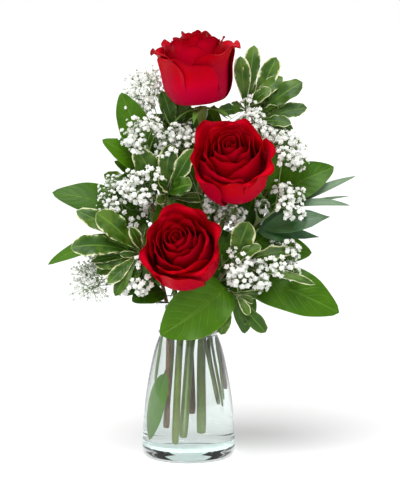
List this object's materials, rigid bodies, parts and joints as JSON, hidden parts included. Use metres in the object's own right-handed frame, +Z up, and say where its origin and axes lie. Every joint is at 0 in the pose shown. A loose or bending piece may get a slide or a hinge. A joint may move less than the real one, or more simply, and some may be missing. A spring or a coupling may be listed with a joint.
{
  "type": "flower arrangement in a vase",
  "caption": "Tall bouquet of open roses with glossy leaves, variegated sprigs and baby's breath, standing in a clear bottle-shaped glass vase of water.",
  "frame": {"origin": "centre of the vase's foot, on the surface it stands on", "axes": "+Z up along the vase, the roses face -Y, +X to the viewer's right"},
  "size_m": [0.307, 0.1706, 0.4255],
  "materials": {
    "glass": "clear smooth glass with a pale aqua tint",
    "water": "still clear water",
    "petal": "velvety deep scarlet, darker and more crimson on the outer petals and rims",
    "stem": "smooth satin green stem, hip and sepals",
    "bark": "thin reddish brown bark",
    "salal": "glossy leathery mid green leaf with pale veins",
    "pittosporum": "satin grey-green leaf with a wavy cream margin",
    "ruscus": "glossy dark green leaf",
    "willow": "matt grey-green narrow blade",
    "babys_breath": "small papery white flowers on thin green threads"
  },
  "bodies": {
    "root": {"babys_breath_left": "babys_breath", "babys_breath_middle": "babys_breath", "babys_breath_right": "babys_breath", "pittosporum_left": "pittosporum", "pittosporum_right": "pittosporum", "pittosporum_top": "pittosporum", "rose_low_heart": "petal", "rose_low_petal_1": "petal", "rose_low_petal_2": "petal", "rose_low_petal_3": "petal", "rose_low_petal_4": "petal", "rose_low_petal_5": "petal", "rose_low_stem": "stem", "rose_middle_heart": "petal", "rose_middle_petal_1": "petal", "rose_middle_petal_2": "petal", "rose_middle_petal_3": "petal", "rose_middle_petal_4": "petal", "rose_middle_petal_5": "petal", "rose_middle_stem": "stem", "rose_top_heart": "petal", "rose_top_petal_1": "petal", "rose_top_petal_2": "petal", "rose_top_petal_3": "petal", "rose_top_petal_4": "petal", "rose_top_petal_5": "petal", "rose_top_stem": "stem", "ruscus_sprig": "ruscus", "salal_leaf_back_left": "salal", "salal_leaf_back_low": "salal", "salal_leaf_back_right": "salal", "salal_leaf_back_upper": "salal", "salal_leaf_behind_top": "salal", "salal_leaf_front": "salal", "salal_leaf_left_broad": "salal", "salal_leaf_left_drooping": "salal", "salal_leaf_left_pointing": "salal", "salal_leaf_left_small": "salal", "salal_leaf_right_broad": "salal", "salal_leaf_right_end": "salal", "salal_leaf_right_middle": "salal", "salal_leaf_right_tall": "salal", "salal_leaf_right_upper": "salal", "salal_leaf_upper_left": "salal", "salal_stem_back": "bark", "salal_stem_left": "bark", "salal_stem_right": "bark", "vase": "glass", "water": "water", "willow_sprig": "willow"}
  },
  "joints": []
}
